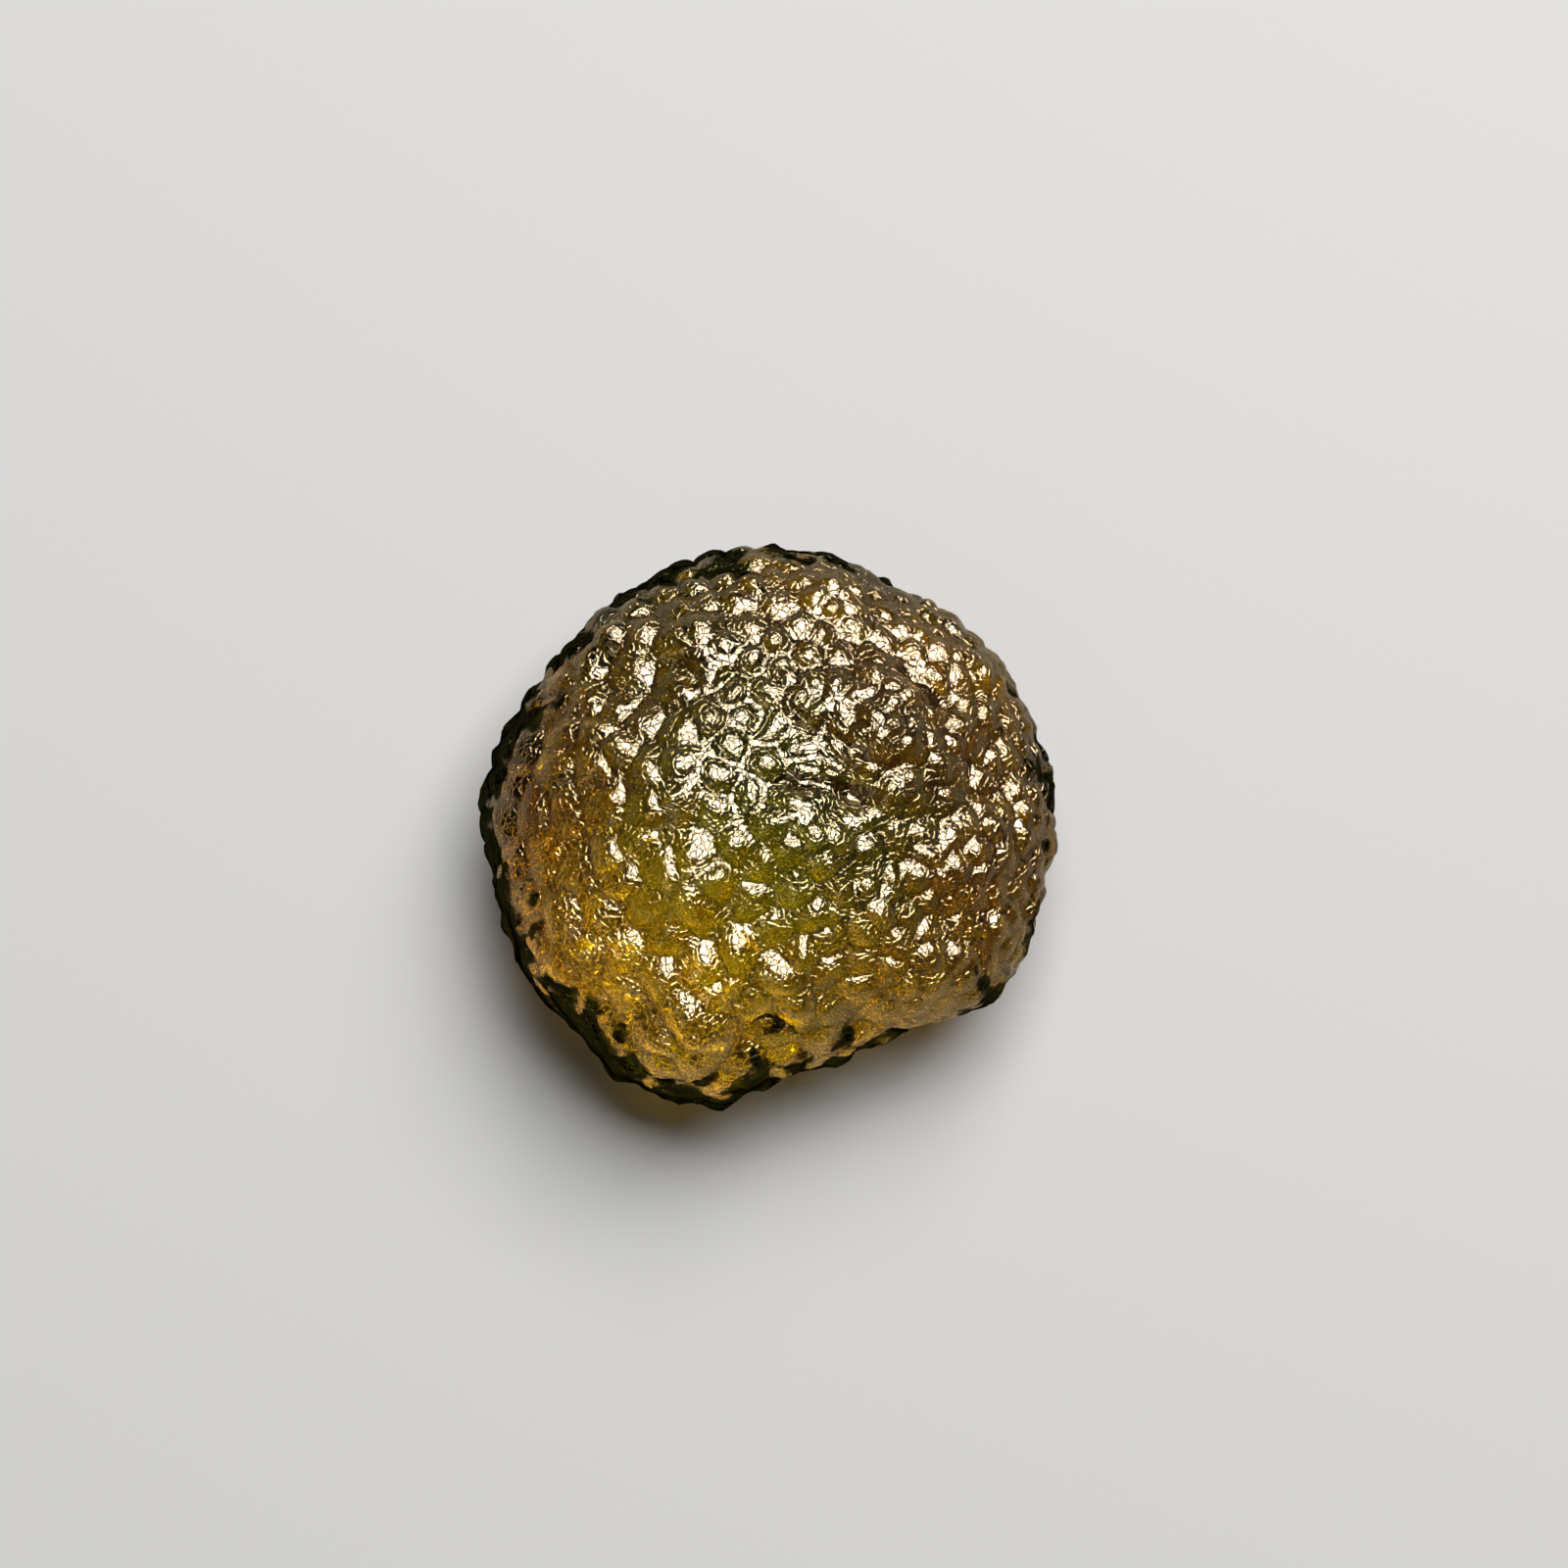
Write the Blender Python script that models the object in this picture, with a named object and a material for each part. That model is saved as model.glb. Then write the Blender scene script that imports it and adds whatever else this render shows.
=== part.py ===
"""Moldavite: a domed button of bottle-green natural glass with a pebbled, pitted skin.

It is one solid in metres, +Z up. The origin is on the surface that the stone rests on, under the
middle of its round outline. The pebbled crown faces up, and the broken-off side faces -Y and +X.
"""

import math
import random

import bmesh
import bpy
from mathutils import Vector, kdtree, noise

MM = 0.001

# Driving dimensions of the stone, in millimetres. Its own middle is on the plane of the rim.
ROUND_RADIUS = 10.3      # of the round outline, before the skin's relief
CROWN_HEIGHT = 5.2       # rim to the top of the dome
BASE_DEPTH = 4.2         # rim to the bottom of the underside, before the flat spot
SPOT_CUT = 0.20          # how much of that bottom the flat spot takes off
CROWN_SHIFT = Vector((-1.4, -0.8, 0))     # the dome's top lies off the middle of the outline
CROWN_SLOPE = 1.16       # 1 is half an ellipse; more gives straighter sides and a sharper rim
BASE_SLOPE = 1.12

# The side that is broken off flat, and the outline's slow waves: (waves round, height, phase)
BROKEN_FACING = math.radians(291)
BROKEN_WAY = Vector((math.cos(BROKEN_FACING), math.sin(BROKEN_FACING), 0))
BROKEN_DISTANCE = 8.85
BROKEN_REACH = 0.3       # cosine of the widest angle from that side at which it can cut the outline
CORNER_SOFTNESS = 0.25
OUTLINE_WAVES = ((2, 0.08, 0.9), (3, 0.08, 1.57), (5, 0.10, -0.61), (9, 0.05, 0.7))

# Fixes how every pattern of the skin bends, so that each run gives the same stone
BEND_SEED = 11

# Skin of lumps with round pebbles on them. Lumps: (spacing, height, lean)
LUMPS = (2.6, 0.24, 0.06)
LOWEST_LUMP = 0.55       # its height, as a share of the highest one's
SHOULDER = 0.42          # groove to the flat top of a lump, as a share of the spacing
SWELL = (7.0, 0.25)      # spacing and height of the slow swells under the lumps
ROUNDING = (0.30, 0.70)  # where a lump's corners start to fall off, and where they have, in spacings
WANDER = (0.40, 0.20)    # how far wide and tight bends carry the grooves, in spacings
BENDS = (2.5, 0.6)       # lengths of the wide and the tight bends, in spacings
LUMP_SHIFT = 3.1         # moves the lumps' pattern to where it suits the crown
FORM_BEND = (2.4, 0.4)   # spacing and size of the bends in the crown's larger forms

# Pebbles: their spacing where the skin is coarse and where it is fine, and how much it varies
COARSE_SPACING, FINE_SPACING, SPACING_SPREAD = 1.2, 0.78, 0.15
FINE_TOWARDS = Vector((0.9, 0.44, 0))
FINE_FROM, FINE_TO = -4.0, 7.0
PEBBLE_RISE = (0.18, 0.30)   # lowest and highest, as shares of the spacing
PEBBLE_BEND = (0.9, 0.16)    # spacing and size of the bends that keep the pebbles from being round
GROOVE_SOFTENING = 16.0      # the larger, the narrower the grooves
PEBBLE_TRIES = 14000
PEBBLE_SEED = 29

# The worn quarter, where the pebbles fade into smoother glass
WORN_TOWARDS = Vector((-0.88, -0.48, 0))
WORN_FROM, WORN_TO = 3.5, 9.5
WORN_SHARE = 0.50

# The broken side, where the skin is smoother too
BROKEN_FROM, BROKEN_TO = 6.6, 8.2
BROKEN_SHARE = 0.5

# Half the depth of the band along the rim where the crown's skin passes into the underside's
RIM_BAND = 1.5

# Pits of the underside: (spacing, depth), how far their patterns are moved apart, where their walls
# start and end, the shallowest one's share of the depth, and the underside's share of the pebbles
PITS = ((3.1, 0.60), (1.6, 0.30))
PIT_SHIFT = 5.3
PIT_WALLS = (0.35, 0.85)
SHALLOWEST_PIT = 0.25
BASE_SHARE = 0.7
# The flat spot's clear middle, and how far from it pits and raised pebbles reach their full size
SPOT_CLEAR, PITS_FULL, PEBBLES_FULL = 2.6, 4.4, 6.5

# Knobs and hollows that show by themselves on the crown: x, y, radius, height
MOAT = 0.12              # depth of the ring around each, as a share of its height
MOAT_PLACE, MOAT_WIDTH = 1.6, 0.45   # middle and width of that ring, in radii
FORM_FALL = 1.4          # the larger, the smaller the forms' feet
KNOBS = (
    (4.4, 3.2, 2.0, 0.80),
    (-2.7, 6.4, 1.2, 0.40),
    (-3.3, 1.4, 1.3, 0.35),
    (1.4, -0.9, 1.7, 0.45),
    (4.4, 0.3, 1.1, 0.32),
    (-3.3, -2.9, 1.2, 0.38),
    (-7.3, -4.9, 1.6, 0.50),
    (-3.0, -7.4, 1.4, 0.45),
    (0.9, -5.9, 1.0, 0.50),
    (5.4, -5.5, 1.4, 0.40),
    (6.6, -1.8, 1.2, 0.30),
    (7.5, 5.8, 1.3, 0.40),
    (-6.0, 2.9, 1.2, 0.30),
    (2.0, 8.4, 1.3, 0.40),
    (-5.4, 6.2, 1.2, 0.30),
)
HOLLOWS = (
    (-0.2, 3.8, 1.5, 0.35),
    (-4.8, 4.8, 1.3, 0.35),
    (0.2, 6.0, 1.2, 0.28),
    (-1.0, -4.6, 2.2, 0.25),
    (-4.9, -4.2, 2.2, 0.32),
    (-6.4, -0.9, 1.8, 0.22),
    (5.8, -4.0, 1.2, 0.25),
    (8.2, 1.6, 1.3, 0.30),
    (-0.4, -8.0, 1.2, 0.45),
    (3.4, -7.4, 1.4, 0.30),
)
# Chips out of the rim's broken side: x, y, radius, depth
CHIPS = (
    (-0.6, -9.9, 0.7, 0.35),
    (1.3, -9.0, 0.9, 0.45),
    (3.4, -8.4, 0.6, 0.35),
    (5.2, -7.5, 0.9, 0.40),
    (6.9, -7.2, 0.5, 0.30),
)
# Furrows of the crown: both ends, width, depth
FURROWS = (
    ((0.3, 1.1), (3.3, 0.5), 0.35, 0.30),
    ((4.8, 5.4), (6.3, 4.2), 0.30, 0.30),
    ((-5.6, 5.6), (-1.6, 4.9), 0.60, 0.20),
    ((1.2, -2.3), (-3.4, -4.4), 0.70, 0.20),
)

# The solid's mesh: squares along one edge of the cube that it starts as, and the triangles kept
CUBE_SQUARES = 64
KEPT_TRIANGLES = 9400

GLASS_COLOUR = (0.16, 0.17, 0.02, 1.0)
GLASS_ROUGHNESS = 0.08
GLASS_IOR = 1.49


def eased(value, low=0.0, high=1.0):
    """0 up to low, 1 from high on, and a smooth step between them."""
    share = min(max((value - low) / (high - low), 0.0), 1.0)
    return share * share * (3 - 2 * share)


def outline_radius(angle):
    """Distance from the middle to the rim, in a direction."""
    waves = sum(size * math.sin(count * angle + phase) for count, size, phase in OUTLINE_WAVES)
    whole = ROUND_RADIUS + waves
    across = math.cos(angle - BROKEN_FACING)
    if across < BROKEN_REACH:
        return whole
    broken = BROKEN_DISTANCE / across
    overlap = max(CORNER_SOFTNESS - abs(whole - broken), 0) / CORNER_SOFTNESS
    return min(whole, broken) - overlap * overlap * CORNER_SOFTNESS / 4


def smooth_body(direction):
    """Point of the stone without its skin's relief, for a direction on the unit ball."""
    ring = math.hypot(direction.x, direction.y)
    radius = outline_radius(math.atan2(direction.y, direction.x))
    across = Vector((direction.x, direction.y, 0)) * radius
    if direction.z >= 0:
        rise = direction.z ** CROWN_SLOPE
        return across + CROWN_SHIFT * eased(1 - ring) + Vector((0, 0, CROWN_HEIGHT * rise))
    return across - Vector((0, 0, BASE_DEPTH * (-direction.z) ** BASE_SLOPE))


def scattered_pebbles():
    """The pebbles' middles, evenly apart on the smooth body, as a tree, and how high each rises."""
    chance = random.Random(PEBBLE_SEED)
    reach = COARSE_SPACING * (1 + SPACING_SPREAD)
    near = {}
    middles, rises = [], []
    steps = (-1, 0, 1)
    for _ in range(PEBBLE_TRIES):
        way = Vector((chance.gauss(0, 1), chance.gauss(0, 1), chance.gauss(0, 1))).normalized()
        point = smooth_body(way)
        fine = eased(point.dot(FINE_TOWARDS), FINE_FROM, FINE_TO)
        spacing = COARSE_SPACING + (FINE_SPACING - COARSE_SPACING) * fine
        spacing *= chance.uniform(1 - SPACING_SPREAD, 1 + SPACING_SPREAD)
        rise = spacing * chance.uniform(*PEBBLE_RISE)
        x, y, z = (math.floor(side / reach) for side in point)
        around = [(x + i, y + j, z + k) for i in steps for j in steps for k in steps]
        if all((point - other).length > spacing for cell in around for other in near.get(cell, ())):
            near.setdefault((x, y, z), []).append(point)
            middles.append(point)
            rises.append(rise)
    tree = kdtree.KDTree(len(middles))
    for index, middle in enumerate(middles):
        tree.insert(middle, index)
    tree.balance()
    return tree, rises


def lump_skin(point, size, shift):
    """Relief of close lumps: sharp grooves, and tops that stand and lean their own way."""
    spacing, height, lean = size
    place = point / spacing + Vector((shift, -shift, 2 * shift))
    for bend, wander in zip(BENDS, WANDER):
        place += noise.noise_vector(point / (bend * spacing)) * wander
    distances, centres = noise.voronoi(place)
    own = noise.cell_vector(centres[0])
    within = min((distances[1] - distances[0]) / SHOULDER, 1)
    tilt = (own * 2 - Vector((1, 1, 1))).dot(place - centres[0])
    rise = (1 - (1 - within) ** 2) * (1 - eased(distances[0], *ROUNDING))
    tall = LOWEST_LUMP + (1 - LOWEST_LUMP) * own.x
    return rise * (height * tall + lean * tilt)


def pebbled_skin(point, pebbles):
    """Relief of close round pebbles with narrow grooves between them."""
    tree, rises = pebbles
    size, strength = PEBBLE_BEND
    found = tree.find_n(point + noise.noise_vector(point / size) * strength, 4)
    nearest = found[0][2]
    nearby = sum(math.exp(-GROOVE_SOFTENING * far) for _, _, far in found[1:])
    beyond = max(-math.log(nearby) / GROOVE_SOFTENING, nearest)
    across = 2 * nearest / (nearest + beyond)
    return rises[found[0][1]] * (1 - across * across)


def pitted_skin(point, size, shift):
    """Relief of round pits, some deep and some missing."""
    spacing, depth = size
    place = point / spacing + Vector((shift, shift, -shift))
    place += noise.noise_vector(point / (2 * spacing)) * WANDER[0]
    distances, centres = noise.voronoi(place)
    own = noise.cell(centres[0])
    deep = SHALLOWEST_PIT + (1 - SHALLOWEST_PIT) * own
    return -depth * eased(1 - distances[0], *PIT_WALLS) * deep


def crown_forms(point):
    """Relief of the crown's knobs, hollows and furrows, none of them quite round or straight."""
    point = point + noise.noise_vector(point / FORM_BEND[0]) * FORM_BEND[1]
    relief = 0.0
    for forms, way in ((KNOBS, 1), (HOLLOWS, -1)):
        for x, y, radius, height in forms:
            far = math.hypot(point.x - x, point.y - y) / radius
            moat = MOAT * math.exp(-((far - MOAT_PLACE) / MOAT_WIDTH) ** 2)
            relief += way * height * (math.exp(-FORM_FALL * far * far) - moat)
    for start, end, width, depth in FURROWS:
        start, end = Vector(start), Vector(end)
        along = end - start
        place = point.xy - start
        share = min(max(place.dot(along) / along.length_squared, 0), 1)
        away = (place - along * share).length / width
        relief -= depth * math.exp(-away * away)
    return relief


def skin_share(point):
    """Share of the pebbles' full height at a point: less where the stone is worn or broken off."""
    worn = eased(point.dot(WORN_TOWARDS), WORN_FROM, WORN_TO)
    broken = eased(point.dot(BROKEN_WAY), BROKEN_FROM, BROKEN_TO)
    crown = eased(point.z, -RIM_BAND, RIM_BAND)
    share = (1 - (1 - WORN_SHARE) * worn) * (1 - (1 - BROKEN_SHARE) * broken)
    return share * (BASE_SHARE + (1 - BASE_SHARE) * crown)


def skin_relief(point, share, pebbles):
    """How far the real surface stands out from the smooth body at a point of it."""
    spacing, height = SWELL
    relief = height * noise.noise(point / spacing)
    relief += share * (lump_skin(point, LUMPS, LUMP_SHIFT) + pebbled_skin(point, pebbles))
    for x, y, radius, depth in CHIPS:
        far = (point - Vector((x, y, 0))).length / radius
        relief -= depth * math.exp(-far * far)
    crown = eased(point.z, -RIM_BAND, RIM_BAND)
    if crown > 0:
        relief += crown * crown_forms(point)
    if crown < 1:
        pits = sum(pitted_skin(point, size, PIT_SHIFT * (1 + i)) for i, size in enumerate(PITS))
        relief += (1 - crown) * pits
    if point.z < 0:
        full = PEBBLES_FULL if relief > 0 else PITS_FULL
        relief *= eased(point.xy.length, SPOT_CLEAR, full)
    return relief


def ball_from_cube(squares):
    """Unit ball of even squares, made by bending each face of a divided cube."""
    ball = bmesh.new()
    bmesh.ops.create_cube(ball, size=2)
    bmesh.ops.subdivide_edges(ball, edges=ball.edges[:], cuts=squares - 1, use_grid_fill=True)
    for vert in ball.verts:
        bent = Vector([math.tan(side * math.pi / 4) for side in vert.co])
        vert.co = bent.normalized()
    return ball


def carve(stone):
    """Shapes the ball into the smooth body, then raises and sinks its skin along its normals."""
    noise.seed_set(BEND_SEED)
    for vert in stone.verts:
        vert.co = smooth_body(vert.co)
    stone.normal_update()
    pebbles = scattered_pebbles()
    raised = []
    for vert in stone.verts:
        relief = skin_relief(vert.co, skin_share(vert.co), pebbles)
        raised.append(vert.co + vert.normal * relief)
    for vert, place in zip(stone.verts, raised):
        vert.co = place


def thinned(stone, triangles):
    """The same surface with fewer triangles, kept where it bends most."""
    bmesh.ops.triangulate(stone, faces=stone.faces[:])
    mesh = bpy.data.meshes.new("carved")
    stone.to_mesh(mesh)
    carved = bpy.data.objects.new("carved", mesh)
    bpy.context.scene.collection.objects.link(carved)
    decimate = carved.modifiers.new("thin", "DECIMATE")
    decimate.ratio = triangles / len(stone.faces)
    graph = bpy.context.evaluated_depsgraph_get()
    kept = bpy.data.meshes.new_from_object(carved.evaluated_get(graph))
    stone.clear()
    stone.from_mesh(kept)
    bpy.data.objects.remove(carved)
    bpy.data.meshes.remove(mesh)
    bpy.data.meshes.remove(kept)


def cut_flat_spot(stone):
    """Takes the bottom off along a level plane and closes the cut."""
    everything = stone.verts[:] + stone.edges[:] + stone.faces[:]
    level = SPOT_CUT - BASE_DEPTH
    cut = bmesh.ops.bisect_plane(
        stone, geom=everything, dist=1e-6, plane_co=(0, 0, level), plane_no=(0, 0, -1), clear_outer=True
    )
    rim = [item for item in cut["geom_cut"] if isinstance(item, bmesh.types.BMEdge)]
    bmesh.ops.edgeloop_fill(stone, edges=rim)
    bmesh.ops.recalc_face_normals(stone, faces=stone.faces[:])


def stand_on_origin(stone):
    """Moves the stone's lowest plane and the middle of its outline to the origin, in metres."""
    low = Vector([min(vert.co[axis] for vert in stone.verts) for axis in range(3)])
    high = Vector([max(vert.co[axis] for vert in stone.verts) for axis in range(3)])
    foot = Vector(((low.x + high.x) / 2, (low.y + high.y) / 2, low.z))
    for vert in stone.verts:
        vert.co = (vert.co - foot) * MM


def glass_material():
    material = bpy.data.materials.new("moldavite_glass")
    material.use_nodes = True
    shader = material.node_tree.nodes["Principled BSDF"]
    shader.inputs["Base Color"].default_value = GLASS_COLOUR
    shader.inputs["Roughness"].default_value = GLASS_ROUGHNESS
    shader.inputs["Metallic"].default_value = 0.0
    shader.inputs["IOR"].default_value = GLASS_IOR
    shader.inputs["Transmission Weight"].default_value = 0.8
    material.diffuse_color = GLASS_COLOUR
    return material


def build_moldavite(collection):
    stone = ball_from_cube(CUBE_SQUARES)
    carve(stone)
    thinned(stone, KEPT_TRIANGLES)
    cut_flat_spot(stone)
    stand_on_origin(stone)
    mesh = bpy.data.meshes.new("moldavite")
    stone.to_mesh(mesh)
    stone.free()
    mesh.materials.append(glass_material())
    moldavite = bpy.data.objects.new("moldavite", mesh)
    collection.objects.link(moldavite)
    return moldavite


def main():
    for old in list(bpy.data.objects):
        bpy.data.objects.remove(old)
    collection = bpy.data.collections.new("moldavite")
    bpy.context.scene.collection.children.link(collection)
    build_moldavite(collection)


main()
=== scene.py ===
"""Looks of the moldavite: its skin in full, its glass, and the floor, light and camera.

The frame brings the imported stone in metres, +Z up, standing on the origin. The stone's own forms
are worked out in millimetres, with the middle of the rim's plane as their origin, and the last
step fits the finished skin into the frame's box.
"""

import math
import random

import bmesh
import bpy
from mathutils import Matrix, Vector, kdtree, noise

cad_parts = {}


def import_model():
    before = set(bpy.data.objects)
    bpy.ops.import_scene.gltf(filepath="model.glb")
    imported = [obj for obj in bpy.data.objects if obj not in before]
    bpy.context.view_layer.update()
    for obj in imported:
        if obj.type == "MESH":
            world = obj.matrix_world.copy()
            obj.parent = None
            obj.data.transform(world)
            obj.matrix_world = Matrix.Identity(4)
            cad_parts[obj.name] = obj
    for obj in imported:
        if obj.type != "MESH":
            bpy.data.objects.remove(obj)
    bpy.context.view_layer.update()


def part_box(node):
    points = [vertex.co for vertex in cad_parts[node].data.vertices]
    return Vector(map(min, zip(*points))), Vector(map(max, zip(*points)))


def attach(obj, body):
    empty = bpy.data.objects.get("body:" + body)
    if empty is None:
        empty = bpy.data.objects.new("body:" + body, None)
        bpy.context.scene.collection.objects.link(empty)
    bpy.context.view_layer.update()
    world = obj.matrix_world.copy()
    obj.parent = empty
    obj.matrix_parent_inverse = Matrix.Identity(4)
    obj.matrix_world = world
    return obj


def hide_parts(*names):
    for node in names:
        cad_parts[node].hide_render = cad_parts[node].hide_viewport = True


# The body under the skin, in millimetres
ROUND_RADIUS = 10.3
CROWN_HEIGHT = 5.2
BASE_DEPTH = 4.2
SPOT_CUT = 0.20
CROWN_SHIFT = Vector((-1.4, -0.8, 0))
CROWN_SLOPE = 1.16
BASE_SLOPE = 1.12

# The side that is broken off flat, and the outline's slow waves: (waves round, height, phase)
BROKEN_FACING = math.radians(291)
BROKEN_WAY = Vector((math.cos(BROKEN_FACING), math.sin(BROKEN_FACING), 0))
BROKEN_DISTANCE = 8.85
BROKEN_REACH = 0.3       # cosine of the widest angle from that side at which it can cut the outline
CORNER_SOFTNESS = 0.25
OUTLINE_WAVES = ((2, 0.08, 0.9), (3, 0.08, 1.57), (5, 0.10, -0.61), (9, 0.05, 0.7))

# Fixes how every pattern of the skin bends, so that each run gives the same stone
BEND_SEED = 11

# Skin of lumps with round pebbles on them. Lumps: (spacing, height, lean)
LUMPS = (2.6, 0.24, 0.06)
LOWEST_LUMP = 0.55       # its height, as a share of the highest one's
SHOULDER = 0.42          # groove to the flat top of a lump, as a share of the spacing
SWELL = (7.0, 0.25)      # spacing and height of the slow swells under the lumps
ROUNDING = (0.30, 0.70)  # where a lump's corners start to fall off, and where they have, in spacings
WANDER = (0.40, 0.20)    # how far wide and tight bends carry the grooves, in spacings
BENDS = (2.5, 0.6)       # lengths of the wide and the tight bends, in spacings
LUMP_SHIFT = 3.1         # moves the lumps' pattern to where it suits the crown
FORM_BEND = (2.4, 0.4)   # spacing and size of the bends in the crown's larger forms

# Pebbles: their spacing where the skin is coarse and where it is fine, and how much it varies
COARSE_SPACING, FINE_SPACING, SPACING_SPREAD = 1.2, 0.78, 0.15
FINE_TOWARDS = Vector((0.9, 0.44, 0))
FINE_FROM, FINE_TO = -4.0, 7.0
PEBBLE_RISE = (0.18, 0.30)   # lowest and highest, as shares of the spacing
PEBBLE_BEND = (0.9, 0.16)    # spacing and size of the bends that keep the pebbles from being round
GROOVE_SOFTENING = 16.0      # the larger, the narrower the grooves
GROOVE_FROM, GROOVE_FULL = 0.6, 1.0   # how far out on a pebble its groove starts, and is full
WIDE_GROOVE = 0.6            # how deep the lumps' grooves count, beside the pebbles'
NEARBY_PEBBLES = 4           # pebbles that shape a point, with the one it is on
PEBBLE_TRIES = 14000
PEBBLE_SEED = 29

# Flat grains on the pebbles
GRAIN_SPACING = 0.50
GRAIN_HEIGHT = 0.012
GRAIN_SHOULDER = 0.28        # groove to the flat top of a grain, as a share of the spacing
GRAIN_BENDS = 0.6            # bends of the grains' grooves to a spacing
# Notches of the rim: their spacing, the height of the sharp points between them, and how far above
# and below the rim's plane they reach
NOTCH_SPACING = 0.95
TOOTH_HEIGHT = 0.45
TOOTH_REACH = 1.1

# The worn quarter, where the pebbles fade into smoother glass
WORN_TOWARDS = Vector((-0.88, -0.48, 0))
WORN_FROM, WORN_TO = 3.5, 9.5
WORN_SHARE = 0.50

# The broken side, where the skin is smoother too
BROKEN_FROM, BROKEN_TO = 6.6, 8.2
BROKEN_SHARE = 0.5

# Half the depth of the band along the rim where the crown's skin passes into the underside's
RIM_BAND = 1.5

# Pits of the underside: (spacing, depth), how far their patterns are moved apart, where their walls
# start and end, the shallowest one's share of the depth, and the underside's share of the pebbles
PITS = ((3.1, 0.60), (1.6, 0.30))
PIT_SHIFT = 5.3
PIT_WALLS = (0.35, 0.85)
SHALLOWEST_PIT = 0.25
BASE_SHARE = 0.7
# The flat spot's clear middle, and how far from it pits and raised pebbles reach their full size
SPOT_CLEAR, PITS_FULL, PEBBLES_FULL = 2.6, 4.4, 6.5

# Knobs and hollows that show by themselves on the crown: x, y, radius, height
MOAT = 0.12              # depth of the ring around each, as a share of its height
MOAT_PLACE, MOAT_WIDTH = 1.6, 0.45   # middle and width of that ring, in radii
FORM_FALL = 1.4          # the larger, the smaller the forms' feet
KNOBS = (
    (4.4, 3.2, 2.0, 0.80),
    (-2.7, 6.4, 1.2, 0.40),
    (-3.3, 1.4, 1.3, 0.35),
    (1.4, -0.9, 1.7, 0.45),
    (4.4, 0.3, 1.1, 0.32),
    (-3.3, -2.9, 1.2, 0.38),
    (-7.3, -4.9, 1.6, 0.50),
    (-3.0, -7.4, 1.4, 0.45),
    (0.9, -5.9, 1.0, 0.50),
    (5.4, -5.5, 1.4, 0.40),
    (6.6, -1.8, 1.2, 0.30),
    (7.5, 5.8, 1.3, 0.40),
    (-6.0, 2.9, 1.2, 0.30),
    (2.0, 8.4, 1.3, 0.40),
    (-5.4, 6.2, 1.2, 0.30),
)
HOLLOWS = (
    (-0.2, 3.8, 1.5, 0.35),
    (-4.8, 4.8, 1.3, 0.35),
    (0.2, 6.0, 1.2, 0.28),
    (-1.0, -4.6, 2.2, 0.25),
    (-4.9, -4.2, 2.2, 0.32),
    (-6.4, -0.9, 1.8, 0.22),
    (5.8, -4.0, 1.2, 0.25),
    (8.2, 1.6, 1.3, 0.30),
    (-0.4, -8.0, 1.2, 0.45),
    (3.4, -7.4, 1.4, 0.30),
)
# Chips out of the rim's broken side: x, y, radius, depth
CHIPS = (
    (-0.6, -9.9, 0.7, 0.35),
    (1.3, -9.0, 0.9, 0.45),
    (3.4, -8.4, 0.6, 0.35),
    (5.2, -7.5, 0.9, 0.40),
    (6.9, -7.2, 0.5, 0.30),
)
# Furrows of the crown: both ends, width, depth, and how much painted shade darkens the glass in them
FURROWS = (
    ((0.3, 1.1), (3.3, 0.5), 0.35, 0.30, 1.0),
    ((4.8, 5.4), (6.3, 4.2), 0.30, 0.30, 1.0),
    ((-5.6, 5.6), (-1.6, 4.9), 0.60, 0.20, 0.2),
    ((1.2, -2.3), (-3.4, -4.4), 0.70, 0.20, 0.2),
)

# Squares along one edge of the cube that the skin starts as, and how near to the flat spot's plane
# a point counts as on it
CUBE_SQUARES = 126
CUT_MARGIN = 1e-6

# A Mix node's two colour inputs, and its colour output
MIX_COLOURS = (6, 7)
MIX_RESULT = 2

# Tints of the glass, with amber and brown painted in for warm light, painted shade for its grooves,
# edge and furrows, the glass's own mottle, and painted dark shade along the rim
OLIVE = (0.84, 0.52, 0.001, 1)
GREEN = (0.45, 0.48, 0.001, 1)
AMBER_WARM_LIGHT = (1.0, 0.46, 0.001, 1)
BROWN_WARM_LIGHT = (1.0, 0.48, 0.01, 1)
CLEAR = (1, 1, 1, 1)
EDGE_PAINTED_SHADE = (0.80, 0.76, 0.60, 1)
GROOVE_PAINTED_SHADE = (0.42, 0.40, 0.25, 1)
CLOUD_SHADE = (0.62, 0.58, 0.40, 1)
FURROW_PAINTED_SHADE = (0.20, 0.12, 0.05, 1)
RIM_PAINTED_SHADE = (0.03, 0.045, 0.01, 1)

# Coat tints, painted shade on the reflections: they darken and warm them, most at glancing angles,
# over the glass and more over the rim's painted shade
REFLECTION_DIMMING_COAT = (0.975, 0.95, 0.88, 1)
RIM_SHADE_COAT = (0.34, 0.34, 0.20, 1)

# Where the glass has each tint, in metres: where it starts and where it is full, or the other way
# round for the green heart
HEART_MIDDLE = (0.001, 0.0015, 0)
HEART_REACH = (0.002, 0.0075)
AMBER_REACH = (0.004, 0.0095)
BROWN_TOWARDS = (0.8, 0.6)
BROWN_REACH = (0.002, 0.008)

# Uneven patterns in the glass: (features to a metre, detail), and how far, in metres, the clouds
# carry the tints' borders and the mottle carries the border of the rim's painted shade
CLOUDS = (230, 4)
MOTTLE = (900, 3)
CLOUD_DRIFT = 0.012
PATCH_DRIFT = 0.006
MIDDLE = 0.5                 # of a pattern's values, which go from 0 to 1

# Where each shade starts and where it is full: painted shade by depth in a groove, the mottle by its
# value, painted shade by dark in a furrow, and painted shade at the edge by metres from the rim's
# plane, the other way round
GROOVE_PAINTED_SHADING = (0.35, 1.0)
CLOUD_SHADING = (0.42, 0.62)
FURROW_PAINTED_SHADING = (0.15, 0.6)
EDGE_PAINTED_SHADING = (0.0008, 0.0026)
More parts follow.
